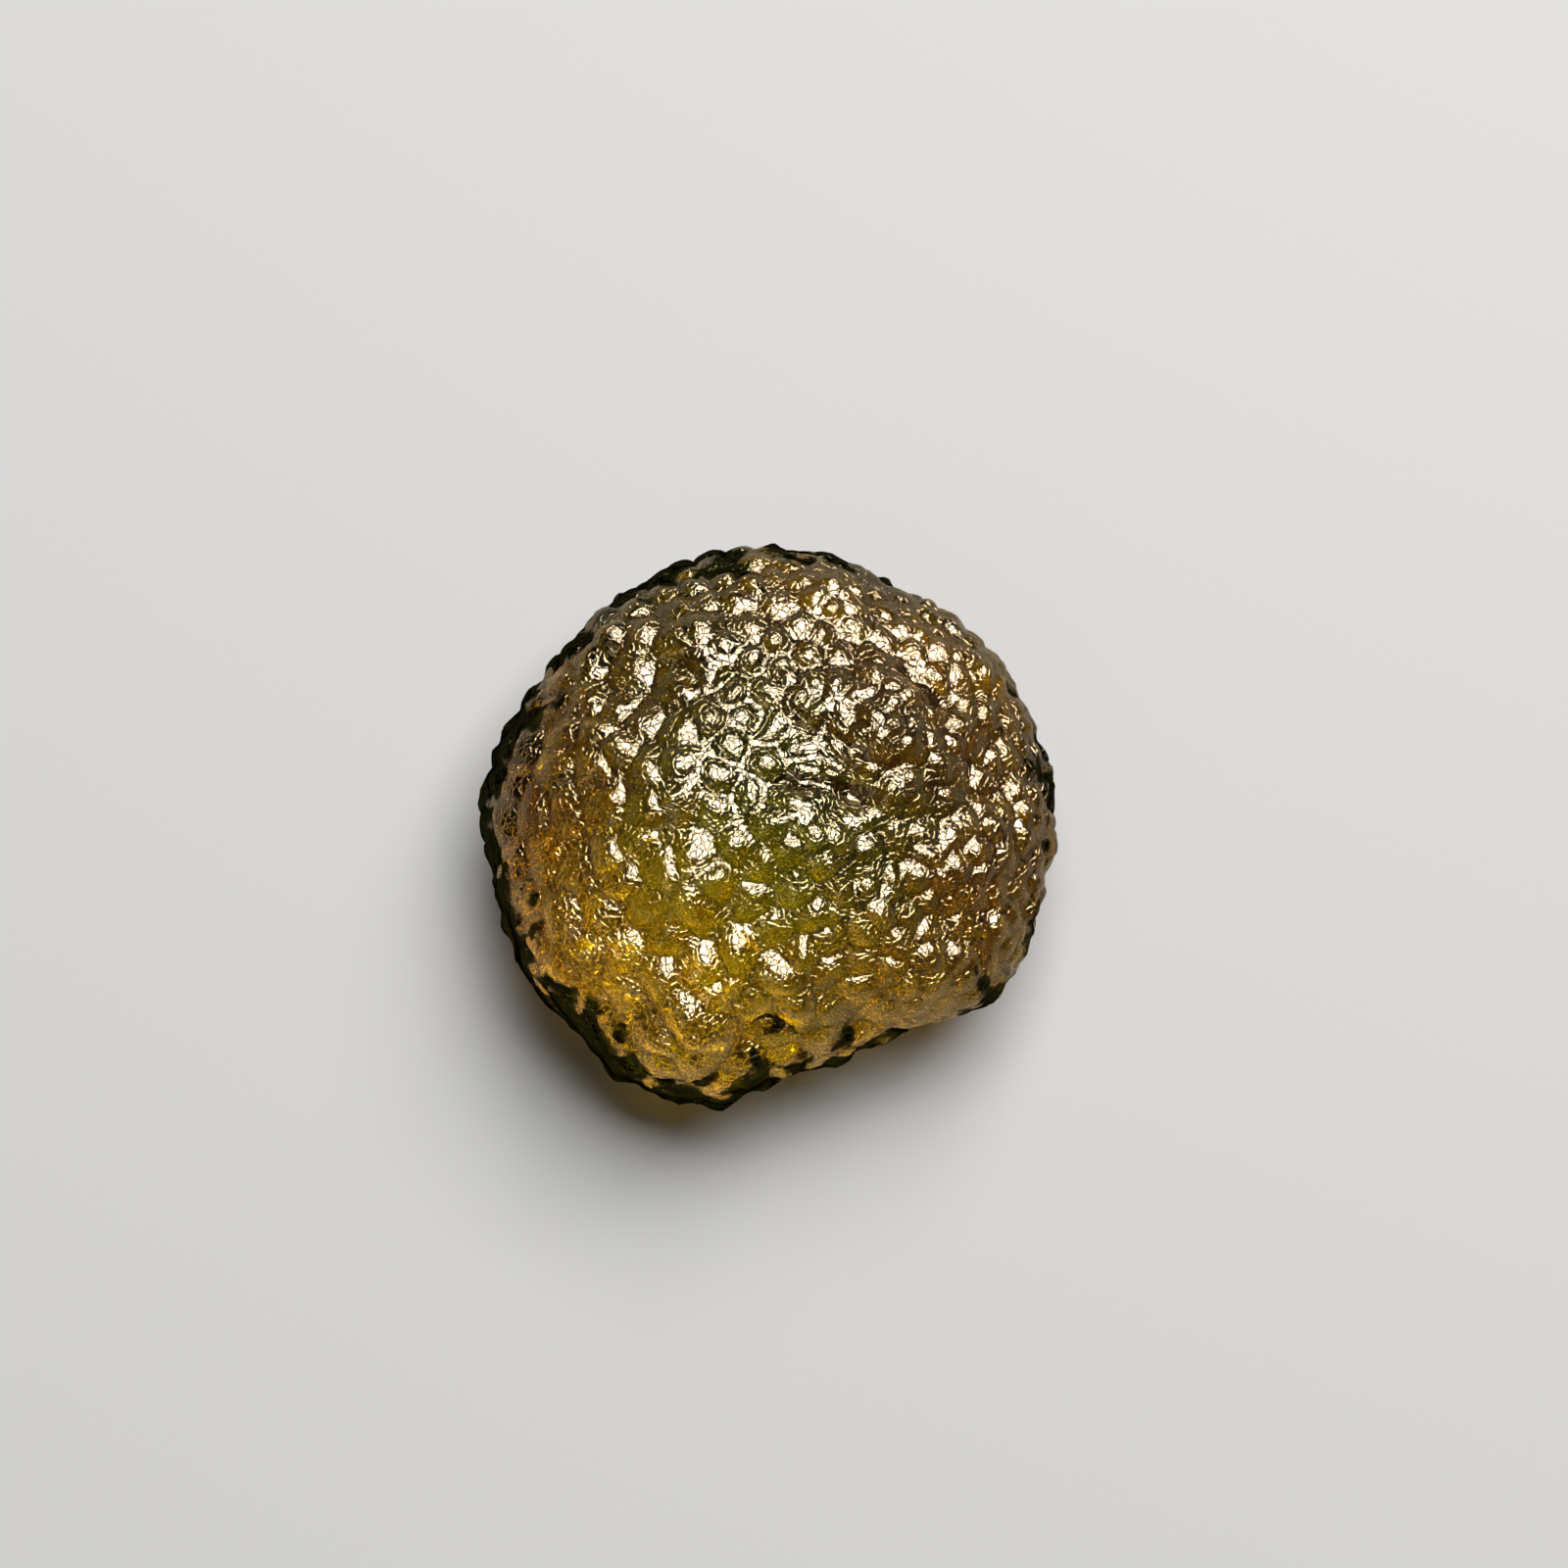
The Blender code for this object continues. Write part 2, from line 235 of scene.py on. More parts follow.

# The painted dark shade along the rim, in metres: its soft border's distances from the rim's plane,
# where from left to right it gets narrower, by how much at both ends, and the clouds' share in its
# border
MILLIMETRE = 0.001
RIM_LEVEL = (BASE_DEPTH - SPOT_CUT) * MILLIMETRE   # the rim's height above the flat spot
RIM_SHADE_BORDER = (0.0008, 0.0013)
RIM_SHADE_SIDE = (-0.004, 0.009)
RIM_SHADE_NARROWING = (-0.0006, 0.0009)
RIM_SHADE_CLOUDS = 0.5

# The glass itself
GLASS_IOR = 1.5
GLASS_ROUGHNESS = 0.06
REFLECTION_TINT = (1, 0.93, 0.76, 1)
DEPTH_COLOUR = (0.982, 0.986, 0.2, 1)
DEPTH_DENSITY = 2500         # to a metre

# Gloss: its full strength, its strength at the rim, what the green heart takes off, and between
# which values of each place it rises or falls
FULL_GLOSS = 0.5
RIM_GLOSS = 0.1
HEART_DULLING = 0.16
GROOVE_DULLING = (0.04, 0.50)
FURROW_DULLING = (0.10, 0.45)
RIM_DULLING = (0.0003, 0.0012)

# Fine hairlines: cells to a metre, bends to a metre and their size in metres, how wide the lines
# are cut and between which distances they are dull, in cells, and how they are cut
HAIRLINES = 3600
HAIRLINE_BENDS = 1500
HAIRLINE_DRIFT = 0.0006
HAIRLINE_WIDTH = 0.15
HAIRLINE_DULLING = (0.09, 0.19)
HAIRLINE_STRENGTH = 0.8
HAIRLINE_DEPTH = 0.00002     # in metres

# Floor and light, in metres, degrees and watts: lamps are (name, azimuth, elevation, distance,
# width, power)
FLOOR_HALF = 0.6
FLOOR_LEVEL = -0.00002
FLOOR_PAINT = (0.077, 0.0828, 0.0917, 1)
FLOOR_ROUGHNESS = 0.9
ROOM_COLOUR = (0.9, 0.93, 1, 1)
ROOM_STRENGTH = 0.04
LAMP_COLOUR = (1, 0.93, 0.84)
LAMPS = (
    ("key", 63, 58, 0.5, 0.42, 26.0),
    ("fill", 225, 50, 0.5, 0.3, 0.5),
)

# Camera, in degrees and millimetres; its picture is square
CAMERA_ELEVATION = 82
CAMERA_LENS = 100
CAMERA_SENSOR = 36
CAMERA_NEAR = 0.01           # in metres
PICTURE = 1600
STONE_WIDTH_PIXELS = 595
STONE_MIDDLE_PIXELS = (783, 838)


def eased(value, low=0.0, high=1.0):
    """0 up to low, 1 from high on, and a smooth step between them."""
    share = min(max((value - low) / (high - low), 0.0), 1.0)
    return share * share * (3 - 2 * share)


def outline_radius(angle):
    """Distance from the middle to the rim, in a direction."""
    waves = sum(size * math.sin(count * angle + phase) for count, size, phase in OUTLINE_WAVES)
    whole = ROUND_RADIUS + waves
    across = math.cos(angle - BROKEN_FACING)
    if across < BROKEN_REACH:
        return whole
    broken = BROKEN_DISTANCE / across
    overlap = max(CORNER_SOFTNESS - abs(whole - broken), 0) / CORNER_SOFTNESS
    return min(whole, broken) - overlap * overlap * CORNER_SOFTNESS / 4


def smooth_body(direction):
    """Point of the stone without its skin's relief, for a direction on the unit ball."""
    ring = math.hypot(direction.x, direction.y)
    radius = outline_radius(math.atan2(direction.y, direction.x))
    across = Vector((direction.x, direction.y, 0)) * radius
    if direction.z >= 0:
        rise = direction.z ** CROWN_SLOPE
        return across + CROWN_SHIFT * eased(1 - ring) + Vector((0, 0, CROWN_HEIGHT * rise))
    return across - Vector((0, 0, BASE_DEPTH * (-direction.z) ** BASE_SLOPE))


def scattered_pebbles():
    """The pebbles' middles, evenly apart on the smooth body, as a tree, and how high each rises."""
    chance = random.Random(PEBBLE_SEED)
    reach = COARSE_SPACING * (1 + SPACING_SPREAD)
    near = {}
    middles, rises = [], []
    steps = (-1, 0, 1)
    for _ in range(PEBBLE_TRIES):
        way = Vector((chance.gauss(0, 1), chance.gauss(0, 1), chance.gauss(0, 1))).normalized()
        point = smooth_body(way)
        fine = eased(point.dot(FINE_TOWARDS), FINE_FROM, FINE_TO)
        spacing = COARSE_SPACING + (FINE_SPACING - COARSE_SPACING) * fine
        spacing *= chance.uniform(1 - SPACING_SPREAD, 1 + SPACING_SPREAD)
        rise = spacing * chance.uniform(*PEBBLE_RISE)
        x, y, z = (math.floor(side / reach) for side in point)
        around = [(x + i, y + j, z + k) for i in steps for j in steps for k in steps]
        if all((point - other).length > spacing for cell in around for other in near.get(cell, ())):
            near.setdefault((x, y, z), []).append(point)
            middles.append(point)
            rises.append(rise)
    tree = kdtree.KDTree(len(middles))
    for index, middle in enumerate(middles):
        tree.insert(middle, index)
    tree.balance()
    return tree, rises


def lump_skin(point, size, shift):
    """Relief of close lumps: sharp grooves, and tops that stand and lean their own way.

    Returns the relief and how deep in a groove the point is, from 0 on a top to 1 at its bottom.
    """
    spacing, height, lean = size
    place = point / spacing + Vector((shift, -shift, 2 * shift))
    for bend, wander in zip(BENDS, WANDER):
        place += noise.noise_vector(point / (bend * spacing)) * wander
    distances, centres = noise.voronoi(place)
    own = noise.cell_vector(centres[0])
    within = min((distances[1] - distances[0]) / SHOULDER, 1)
    tilt = (own * 2 - Vector((1, 1, 1))).dot(place - centres[0])
    rise = (1 - (1 - within) ** 2) * (1 - eased(distances[0], *ROUNDING))
    tall = LOWEST_LUMP + (1 - LOWEST_LUMP) * own.x
    return rise * (height * tall + lean * tilt), 1 - rise


def pebbled_skin(point, pebbles):
    """Relief of close round pebbles with narrow grooves between them.

    Also returns how far out from the pebble's middle the point is, from 0 to 1 in the groove.
    """
    tree, rises = pebbles
    size, strength = PEBBLE_BEND
    found = tree.find_n(point + noise.noise_vector(point / size) * strength, NEARBY_PEBBLES)
    nearest = found[0][2]
    nearby = sum(math.exp(-GROOVE_SOFTENING * far) for _, _, far in found[1:])
    beyond = max(-math.log(nearby) / GROOVE_SOFTENING, nearest)
    across = 2 * nearest / (nearest + beyond)
    return rises[found[0][1]] * (1 - across * across), across


def pitted_skin(point, size, shift):
    """Relief of round pits, some deep and some missing."""
    spacing, depth = size
    place = point / spacing + Vector((shift, shift, -shift))
    place += noise.noise_vector(point / (2 * spacing)) * WANDER[0]
    distances, centres = noise.voronoi(place)
    own = noise.cell(centres[0])
    deep = SHALLOWEST_PIT + (1 - SHALLOWEST_PIT) * own
    return -depth * eased(1 - distances[0], *PIT_WALLS) * deep


def crown_forms(point):
    """Relief of the crown's knobs, hollows and furrows, none of them quite round or straight.

    Returns the relief and how much painted shade darkens the glass in a furrow there, from 0 to 1.
    """
    point = point + noise.noise_vector(point / FORM_BEND[0]) * FORM_BEND[1]
    relief, darkest = 0.0, 0.0
    for forms, way in ((KNOBS, 1), (HOLLOWS, -1)):
        for x, y, radius, height in forms:
            far = math.hypot(point.x - x, point.y - y) / radius
            moat = MOAT * math.exp(-((far - MOAT_PLACE) / MOAT_WIDTH) ** 2)
            relief += way * height * (math.exp(-FORM_FALL * far * far) - moat)
    for start, end, width, depth, dark in FURROWS:
        start, end = Vector(start), Vector(end)
        along = end - start
        place = point.xy - start
        share = min(max(place.dot(along) / along.length_squared, 0), 1)
        away = (place - along * share).length / width
        inside = math.exp(-away * away)
        relief -= depth * inside
        darkest = max(darkest, dark * inside)
    return relief, darkest


def skin_share(point):
    """Share of the pebbles' full height at a point: less where the stone is worn or broken off."""
    worn = eased(point.dot(WORN_TOWARDS), WORN_FROM, WORN_TO)
    broken = eased(point.dot(BROKEN_WAY), BROKEN_FROM, BROKEN_TO)
    crown = eased(point.z, -RIM_BAND, RIM_BAND)
    share = (1 - (1 - WORN_SHARE) * worn) * (1 - (1 - BROKEN_SHARE) * broken)
    return share * (BASE_SHARE + (1 - BASE_SHARE) * crown)


def skin_relief(point, share, pebbles):
    """How far the real surface stands out from the smooth body.

    Also returns how deep in a groove it is, and how much painted shade it gets in a furrow of the
    crown.
    """
    spacing, height = SWELL
    relief = height * noise.noise(point / spacing)
    lump, wide_groove = lump_skin(point, LUMPS, LUMP_SHIFT)
    pebble, outwards = pebbled_skin(point, pebbles)
    relief += share * (lump + pebble)
    for x, y, radius, depth in CHIPS:
        far = (point - Vector((x, y, 0))).length / radius
        relief -= depth * math.exp(-far * far)
    crown = eased(point.z, -RIM_BAND, RIM_BAND)
    groove = max(eased(outwards, GROOVE_FROM, GROOVE_FULL), WIDE_GROOVE * wide_groove)
    furrow = 0.0
    if crown > 0:
        forms, darkest = crown_forms(point)
        relief += crown * forms
        furrow = crown * darkest
    if crown < 1:
        pits = sum(pitted_skin(point, size, PIT_SHIFT * (1 + i)) for i, size in enumerate(PITS))
        relief += (1 - crown) * pits
    if point.z < 0:
        full = PEBBLES_FULL if relief > 0 else PITS_FULL
        relief *= eased(point.xy.length, SPOT_CLEAR, full)
    return relief, groove, furrow


def ball_from_cube(squares):
    """Unit ball of even squares, made by bending each face of a divided cube."""
    ball = bmesh.new()
    bmesh.ops.create_cube(ball, size=2)
    bmesh.ops.subdivide_edges(ball, edges=ball.edges[:], cuts=squares - 1, use_grid_fill=True)
    for vert in ball.verts:
        bent = Vector([math.tan(side * math.pi / 4) for side in vert.co])
        vert.co = bent.normalized()
    return ball


def carve(stone):
    """Shapes the ball into the smooth body, then raises and sinks its skin along its normals.

    Returns what the finer skin and the glass need to know of each point, by name.
    """
    noise.seed_set(BEND_SEED)
    for vert in stone.verts:
        vert.co = smooth_body(vert.co)
    stone.normal_update()
    pebbles = scattered_pebbles()
    facts = {"grains": [], "groove": [], "furrow": []}
    raised = []
    for vert in stone.verts:
        share = skin_share(vert.co)
        relief, groove, furrow = skin_relief(vert.co, share, pebbles)
        raised.append(vert.co + vert.normal * relief)
        facts["grains"].append(share)
        facts["groove"].append(groove)
        facts["furrow"].append(furrow)
    for vert, place in zip(stone.verts, raised):
        vert.co = place
    return facts


def cut_flat_spot(stone):
    """Takes the bottom off along a level plane and closes the cut."""
    everything = stone.verts[:] + stone.edges[:] + stone.faces[:]
    level = SPOT_CUT - BASE_DEPTH
    cut = bmesh.ops.bisect_plane(
        stone, geom=everything, dist=CUT_MARGIN,
        plane_co=(0, 0, level), plane_no=(0, 0, -1), clear_outer=True,
    )
    rim = [item for item in cut["geom_cut"] if isinstance(item, bmesh.types.BMEdge)]
    bmesh.ops.edgeloop_fill(stone, edges=rim)
    bmesh.ops.recalc_face_normals(stone, faces=stone.faces[:])


class Maker:
    """Adds nodes to a tree and joins them by socket names."""

    def __init__(self, tree):
        self.tree = tree

    def node(self, kind, **values):
        """A new node of a kind, with its own values set."""
        node = self.tree.nodes.new(kind)
        for name, value in values.items():
            setattr(node, name, value)
        return node

    def join(self, source, target):
        """Links two sockets."""
        self.tree.links.new(source, target)

    def feed(self, socket, term):
        """Gives a socket its term, which is another socket, a plain value or nothing."""
        if term is None:
            return
        if isinstance(term, bpy.types.NodeSocket):
            self.join(term, socket)
        else:
            socket.default_value = term

    def sum(self, operation, first, second=None, third=None):
        """A Math node's result; each term is a socket or a number."""
        node = self.node("ShaderNodeMath", operation=operation)
        for index, term in enumerate((first, second, third)):
            self.feed(node.inputs[index], term)
        return node.outputs[0]

    def vector(self, operation, first, second):
        """A Vector Math node's result; each term is a socket or a vector."""
        node = self.node("ShaderNodeVectorMath", operation=operation)
        self.feed(node.inputs[0], first)
        self.feed(node.inputs[1], second)
        return node.outputs["Vector"]

    def scaled(self, vector, factor):
        """A vector times a number."""
        node = self.node("ShaderNodeVectorMath", operation="SCALE")
        self.feed(node.inputs[0], vector)
        self.feed(node.inputs["Scale"], factor)
        return node.outputs["Vector"]

    def blend(self, factor, first, second, way="MIX"):
        """A colour that goes from first to second with the factor."""
        node = self.node("ShaderNodeMix", data_type="RGBA", blend_type=way)
        self.feed(node.inputs["Factor"], factor)
        self.feed(node.inputs[MIX_COLOURS[0]], first)
        self.feed(node.inputs[MIX_COLOURS[1]], second)
        return node.outputs[MIX_RESULT]

    def shaded(self, tint, share, shade):
        """The tint times the shade, as far as the share says."""
        return self.blend(1.0, tint, self.blend(share, CLEAR, shade), "MULTIPLY")

    def ramp(self, value, low, high, start=0.0, end=1.0):
        """A smooth step from start, up to low, to end, from high on."""
        node = self.node("ShaderNodeMapRange", interpolation_type="SMOOTHSTEP")
        terms = {"Value": value, "From Min": low, "From Max": high, "To Min": start, "To Max": end}
        for name, term in terms.items():
            self.feed(node.inputs[name], term)
        return node.outputs["Result"]

    def clouds(self, place, scale, detail=2):
        """Soft noise, with so many clouds to a unit of length."""
        texture = self.node("ShaderNodeTexNoise")
        self.join(place, texture.inputs["Vector"])
        texture.inputs["Scale"].default_value = scale
        texture.inputs["Detail"].default_value = detail
        return texture

    def cells(self, place, scale, feature="F1"):
        """Distances in a pattern of cells, with so many cells to a unit of length."""
        texture = self.node("ShaderNodeTexVoronoi", feature=feature)
        self.join(place, texture.inputs["Vector"])
        texture.inputs["Scale"].default_value = scale
        return texture.outputs["Distance"]

    def bends(self, clouds, size):
        """Vectors that the clouds turn every way, up to about half the size long."""
        return self.scaled(self.vector("SUBTRACT", clouds.outputs["Color"], (MIDDLE,) * 3), size)

    def drift(self, clouds, size):
        """A number that the clouds carry up and down, by up to about half the size."""
        return self.sum("MULTIPLY", self.sum("SUBTRACT", clouds.outputs["Fac"], MIDDLE), size)


def grain_tree(material):
    """Geometry Nodes that raise grains on the skin and teeth on the rim, in the mesh's own units."""
    tree = bpy.data.node_groups.new("grain_skin", "GeometryNodeTree")
    tree.interface.new_socket("Skin", in_out="INPUT", socket_type="NodeSocketGeometry")
    for name in ("Spacing", "Height", "Notch Spacing", "Tooth Height", "Tooth Reach", "Wander"):
        tree.interface.new_socket(name, in_out="INPUT", socket_type="NodeSocketFloat")
    tree.interface.new_socket("Skin", in_out="OUTPUT", socket_type="NodeSocketGeometry")
    maker = Maker(tree)
    given = maker.node("NodeGroupInput").outputs
    result = maker.node("NodeGroupOutput")
    place = maker.node("GeometryNodeInputPosition").outputs[0]
    normal = maker.node("GeometryNodeInputNormal").outputs[0]

    spaced = maker.scaled(place, maker.sum("DIVIDE", 1.0, given["Spacing"]))
    bends = maker.bends(maker.clouds(spaced, GRAIN_BENDS), given["Wander"])
    from_edge = maker.cells(maker.vector("ADD", spaced, bends), 1.0, "DISTANCE_TO_EDGE")
    inside = maker.sum("MINIMUM", maker.sum("DIVIDE", from_edge, GRAIN_SHOULDER), 1.0)
    outside = maker.sum("SUBTRACT", 1.0, inside)
    flat = maker.sum("SUBTRACT", 1.0, maker.sum("MULTIPLY", outside, outside))

    level = maker.node("ShaderNodeSeparateXYZ")
    maker.join(place, level.inputs[0])
    from_rim = maker.sum("ABSOLUTE", level.outputs["Z"])
    near_rim = maker.ramp(from_rim, 0.0, given["Tooth Reach"], 1.0, 0.0)
    notched = maker.scaled(place, maker.sum("DIVIDE", 1.0, given["Notch Spacing"]))
    out = maker.sum("SUBTRACT", maker.cells(notched, 1.0), MIDDLE)
    rise = maker.sum("MULTIPLY", maker.sum("MULTIPLY", near_rim, given["Tooth Height"]), out)
    share = maker.node("GeometryNodeInputNamedAttribute", data_type="FLOAT")
    share.inputs["Name"].default_value = "grains"
    tall = maker.sum("MULTIPLY", share.outputs["Attribute"], given["Height"])
    rise = maker.sum("MULTIPLY_ADD", maker.sum("SUBTRACT", flat, MIDDLE), tall, rise)

    moved = maker.node("GeometryNodeSetPosition")
    maker.join(given["Skin"], moved.inputs["Geometry"])
    maker.join(maker.scaled(normal, rise), moved.inputs["Offset"])
    real = maker.node("GeometryNodeRealizeInstances")
    maker.join(moved.outputs["Geometry"], real.inputs["Geometry"])
    glassy = maker.node("GeometryNodeSetMaterial")
    glassy.inputs["Material"].default_value = material
    maker.join(real.outputs["Geometry"], glassy.inputs["Geometry"])
    maker.join(glassy.outputs["Geometry"], result.inputs["Skin"])
    return tree


def grained(mesh, material):
    """The mesh with its grains and teeth, as a new plain mesh."""
    rough = bpy.data.objects.new("rough_skin", mesh)
    bpy.context.scene.collection.objects.link(rough)
    tree = grain_tree(material)
    skin = rough.modifiers.new("grains", "NODES")
    skin.node_group = tree
    sizes = {
        "Spacing": GRAIN_SPACING,
        "Height": GRAIN_HEIGHT,
        "Notch Spacing": NOTCH_SPACING,
        "Tooth Height": TOOTH_HEIGHT,
        "Tooth Reach": TOOTH_REACH,
        "Wander": WANDER[0],
    }
    for item in tree.interface.items_tree:
        if item.in_out == "INPUT" and item.name in sizes:
            skin[item.identifier] = sizes[item.name]
    graph = bpy.context.evaluated_depsgraph_get()
    finished = bpy.data.meshes.new_from_object(rough.evaluated_get(graph))
    rough.modifiers.remove(skin)
    bpy.data.objects.remove(rough)
    return finished


def fit_to_frame(mesh, box):
    """Sets the mesh into the frame's box, in metres, with its flat spot on the box's floor."""
    low, high = Vector(box[0]), Vector(box[1])
    own_low = Vector([min(vert.co[axis] for vert in mesh.vertices) for axis in range(3)])
    own_high = Vector([max(vert.co[axis] for vert in mesh.vertices) for axis in range(3)])
    for vert in mesh.vertices:
        share = [(vert.co[i] - own_low[i]) / (own_high[i] - own_low[i]) for i in range(3)]
        vert.co = [low[i] + share[i] * (high[i] - low[i]) for i in range(3)]


def body_tint(maker, place, sides, uneven):
    """Olive glass, green in its heart, with painted warm light: amber to the left and brown to the
    upper right.

    Also returns how much of the green heart a place has, from 0 to 1.
    """
    x, y = sides["X"], sides["Y"]
    across = maker.vector("MULTIPLY", maker.vector("SUBTRACT", place, HEART_MIDDLE), (1, 1, 0))
    length = maker.node("ShaderNodeVectorMath", operation="LENGTH")
    maker.join(across, length.inputs[0])
    from_heart = maker.sum("ADD", length.outputs["Value"], uneven)
    heart = maker.ramp(from_heart, *HEART_REACH, 1.0, 0.0)
    amber_side = maker.ramp(maker.sum("SUBTRACT", uneven, x), *AMBER_REACH)
    brown_way = maker.sum("MULTIPLY_ADD", y, BROWN_TOWARDS[1], uneven)
    brown_way = maker.sum("MULTIPLY_ADD", x, BROWN_TOWARDS[0], brown_way)
    tint = maker.blend(heart, OLIVE, GREEN)
    # painted warm light: amber stands in for warm light coming up from beneath, brown for warm
    # reflected light
    tint = maker.blend(amber_side, tint, AMBER_WARM_LIGHT)
    return maker.blend(maker.ramp(brown_way, *BROWN_REACH), tint, BROWN_WARM_LIGHT), heart


def painted_rim_shade(maker, x, from_rim, mottle, uneven):
    """Share of painted dark shade, from 0 to 1: broken patches along the rim, narrower towards the
    right.
    """
    patches = maker.drift(mottle, PATCH_DRIFT)
    narrowing = maker.ramp(x, *RIM_SHADE_SIDE, *RIM_SHADE_NARROWING)
    reach = maker.sum("ADD", maker.sum("SUBTRACT", from_rim, patches), narrowing)
    reach = maker.sum("MULTIPLY_ADD", uneven, -RIM_SHADE_CLOUDS, reach)
    return maker.ramp(reach, *RIM_SHADE_BORDER, 1.0, 0.0)


def cut_hairlines(maker, place, shader):
    """Cuts fine hairlines into the surface, and returns the distance from them, in cells."""
    bends = maker.bends(maker.clouds(place, HAIRLINE_BENDS), HAIRLINE_DRIFT)
    from_line = maker.cells(maker.vector("ADD", place, bends), HAIRLINES, "DISTANCE_TO_EDGE")
    cut = maker.node("ShaderNodeBump")
    cut.inputs["Strength"].default_value = HAIRLINE_STRENGTH
    cut.inputs["Distance"].default_value = HAIRLINE_DEPTH
    maker.join(maker.ramp(from_line, 0.0, HAIRLINE_WIDTH), cut.inputs["Height"])
    maker.join(cut.outputs["Normal"], shader.inputs["Normal"])
    return from_line


def moldavite_glass():
    """Olive glass with amber-brown painted warm light and painted shade: see-through, glossy on its
    tops and duller in its grooves.
    """
    material = bpy.data.materials.new("pebbled_glass")
    material.use_nodes = True
    maker = Maker(material.node_tree)
    nodes = material.node_tree.nodes
    shader, output = nodes["Principled BSDF"], nodes["Material Output"]
    shader.inputs["Transmission Weight"].default_value = 1
    shader.inputs["IOR"].default_value = GLASS_IOR
    shader.inputs["Roughness"].default_value = GLASS_ROUGHNESS
    shader.inputs["Specular Tint"].default_value = REFLECTION_TINT
    shader.inputs["Coat Weight"].default_value = 1
    shader.inputs["Coat IOR"].default_value = 1

    place = maker.node("ShaderNodeTexCoord").outputs["Object"]
    split = maker.node("ShaderNodeSeparateXYZ")
    maker.join(place, split.inputs[0])
    sides = split.outputs
    from_rim = maker.sum("ABSOLUTE", maker.sum("SUBTRACT", sides["Z"], RIM_LEVEL))
    groove = maker.node("ShaderNodeAttribute", attribute_name="groove").outputs["Fac"]
    furrow = maker.node("ShaderNodeAttribute", attribute_name="furrow").outputs["Fac"]
    uneven = maker.drift(maker.clouds(place, *CLOUDS), CLOUD_DRIFT)
    mottle = maker.clouds(place, *MOTTLE)

    tint, heart = body_tint(maker, place, sides, uneven)
    # painted shade in the grooves between the pebbles
    tint = maker.shaded(tint, maker.ramp(groove, *GROOVE_PAINTED_SHADING), GROOVE_PAINTED_SHADE)
    tint = maker.shaded(tint, maker.ramp(mottle.outputs["Fac"], *CLOUD_SHADING), CLOUD_SHADE)
    # painted shade towards the rim's edge, dimming the light that comes through there
    tint = maker.shaded(tint, maker.ramp(from_rim, *EDGE_PAINTED_SHADING, 1.0, 0.0), EDGE_PAINTED_SHADE)
    # painted shade: dark green-black patches along the rim, with a darker coat over them
    rim_shade = painted_rim_shade(maker, sides["X"], from_rim, mottle, uneven)
    tint = maker.blend(rim_shade, tint, RIM_PAINTED_SHADE)
    # painted shade in the furrows
    tint = maker.shaded(tint, maker.ramp(furrow, *FURROW_PAINTED_SHADING), FURROW_PAINTED_SHADE)
    maker.join(tint, shader.inputs["Base Color"])
    # painted shade on the reflections: the coat tint darkens and warms them, most at glancing
    # angles, and more along the rim
    maker.join(maker.blend(rim_shade, REFLECTION_DIMMING_COAT, RIM_SHADE_COAT), shader.inputs["Coat Tint"])

    from_line = cut_hairlines(maker, place, shader)
    gloss = maker.ramp(groove, *GROOVE_DULLING, FULL_GLOSS, 0.0)
    for limit in (
        maker.ramp(from_rim, *RIM_DULLING, RIM_GLOSS, FULL_GLOSS),
        maker.ramp(furrow, *FURROW_DULLING, FULL_GLOSS, 0.0),
        maker.sum("MULTIPLY_ADD", heart, -HEART_DULLING, FULL_GLOSS),
        maker.ramp(from_line, *HAIRLINE_DULLING, 0.0, FULL_GLOSS),
    ):
        gloss = maker.sum("MINIMUM", gloss, limit)
    maker.join(gloss, shader.inputs["Specular IOR Level"])

    depth = maker.node("ShaderNodeVolumeAbsorption")
    depth.inputs["Color"].default_value = DEPTH_COLOUR
    depth.inputs["Density"].default_value = DEPTH_DENSITY
    maker.join(depth.outputs["Volume"], output.inputs["Volume"])
    return material


def stone(box):
    """The finished stone, in the frame's box."""
    carved = ball_from_cube(CUBE_SQUARES)
    facts = carve(carved)
    rough = bpy.data.meshes.new("rough_skin")
    carved.to_mesh(rough)
    for name, values in facts.items():
        rough.attributes.new(name, "FLOAT", "POINT").data.foreach_set("value", values)
    mesh = grained(rough, moldavite_glass())
    carved.clear()
    carved.from_mesh(mesh)
    cut_flat_spot(carved)
    carved.to_mesh(mesh)
    carved.free()
    fit_to_frame(mesh, box)
    mesh.shade_smooth()
    skin = bpy.data.objects.new("moldavite_skin", mesh)
    bpy.context.scene.collection.objects.link(skin)
    return skin


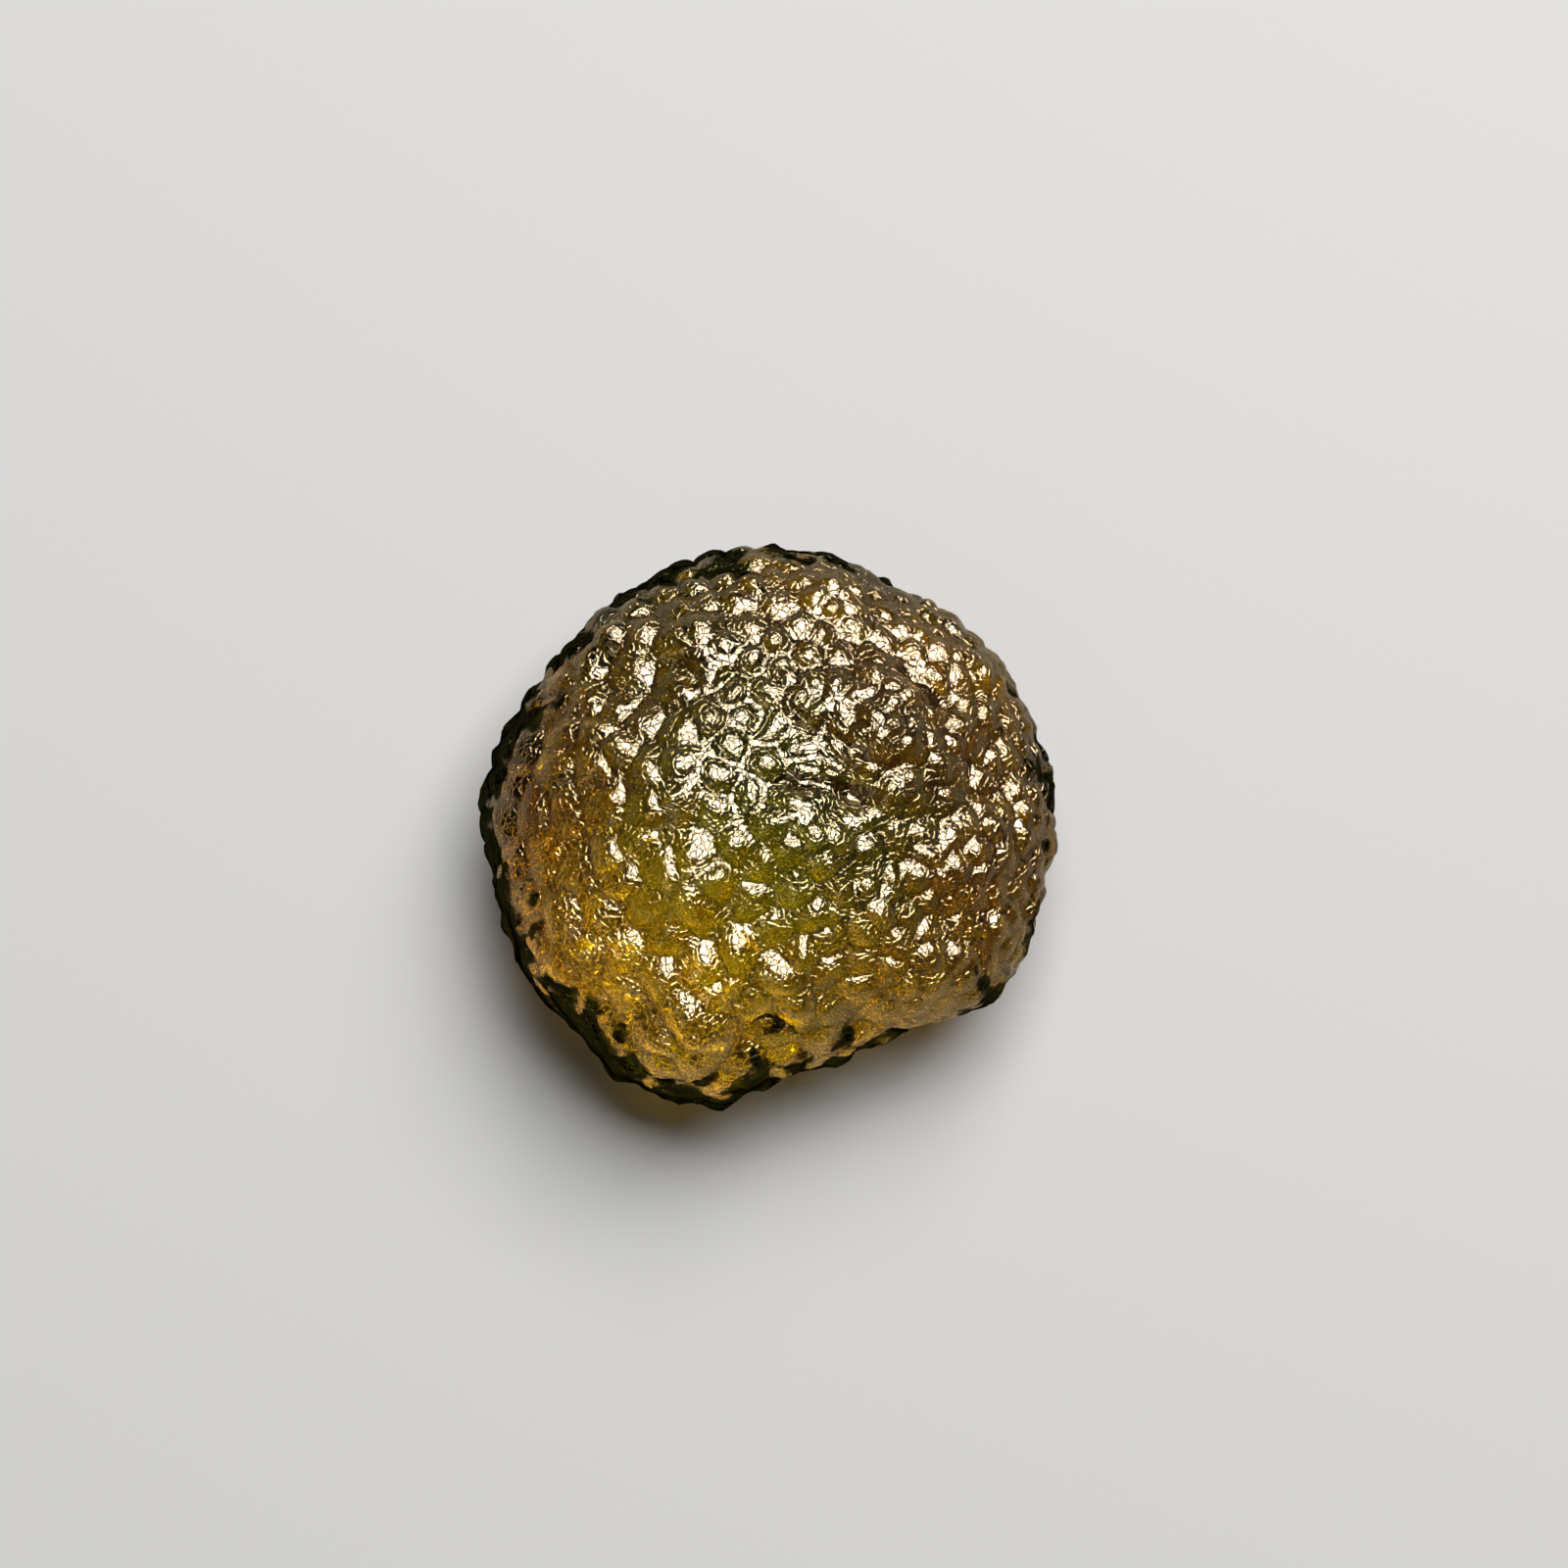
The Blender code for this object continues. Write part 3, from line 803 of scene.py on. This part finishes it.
def studio():
    """A plain pale floor with soft lamps over it; returns the floor."""
    floor_mesh = bpy.data.meshes.new("floor")
    shape = bmesh.new()
    bmesh.ops.create_grid(shape, x_segments=1, y_segments=1, size=FLOOR_HALF)
    shape.to_mesh(floor_mesh)
    shape.free()
    floor = bpy.data.objects.new("floor", floor_mesh)
    floor.location.z = FLOOR_LEVEL
    bpy.context.scene.collection.objects.link(floor)
    paint = bpy.data.materials.new("floor")
    paint.use_nodes = True
    shader = paint.node_tree.nodes["Principled BSDF"]
    shader.inputs["Base Color"].default_value = FLOOR_PAINT
    shader.inputs["Roughness"].default_value = FLOOR_ROUGHNESS
    floor_mesh.materials.append(paint)

    world = bpy.data.worlds.new("studio")
    world.use_nodes = True
    room = world.node_tree.nodes["Background"]
    room.inputs["Color"].default_value = ROOM_COLOUR
    room.inputs["Strength"].default_value = ROOM_STRENGTH
    bpy.context.scene.world = world

    for name, azimuth, elevation, distance, width, power in LAMPS:
        lamp = bpy.data.lights.new(name, "AREA")
        lamp.shape = "SQUARE"
        lamp.size = width
        lamp.energy = power
        lamp.color = LAMP_COLOUR
        light = bpy.data.objects.new(name, lamp)
        level = math.cos(math.radians(elevation))
        way = Vector((
            level * math.cos(math.radians(azimuth)),
            level * math.sin(math.radians(azimuth)),
            math.sin(math.radians(elevation)),
        ))
        light.location = way * distance
        light.rotation_euler = (-way).to_track_quat("-Z", "Y").to_euler()
        bpy.context.scene.collection.objects.link(light)
    return floor


def camera_on(box):
    """Looks down on the stone so that it stands where it does in the photo's square frame."""
    low, high = Vector(box[0]), Vector(box[1])
    middle = (low + high) / 2
    elevation = math.radians(CAMERA_ELEVATION)
    way = Vector((0, -math.cos(elevation), math.sin(elevation)))
    lens = bpy.data.cameras.new("camera")
    lens.lens = CAMERA_LENS
    lens.sensor_width = CAMERA_SENSOR
    lens.clip_start = CAMERA_NEAR
    view_width = (high.x - low.x) * PICTURE / STONE_WIDTH_PIXELS
    distance = view_width * CAMERA_LENS / CAMERA_SENSOR
    camera = bpy.data.objects.new("camera", lens)
    camera.location = middle + way * distance
    camera.rotation_euler = (-way).to_track_quat("-Z", "Y").to_euler()
    lens.shift_x = (PICTURE / 2 - STONE_MIDDLE_PIXELS[0]) / PICTURE
    lens.shift_y = (STONE_MIDDLE_PIXELS[1] - PICTURE / 2) / PICTURE
    bpy.context.scene.collection.objects.link(camera)
    bpy.context.scene.camera = camera


def main():
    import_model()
    skin = stone(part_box("moldavite"))
    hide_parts("moldavite")
    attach(skin, "root")
    floor = studio()
    camera_on(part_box("moldavite"))
    bpy.context.scene.view_settings.view_transform = "Standard"


main()
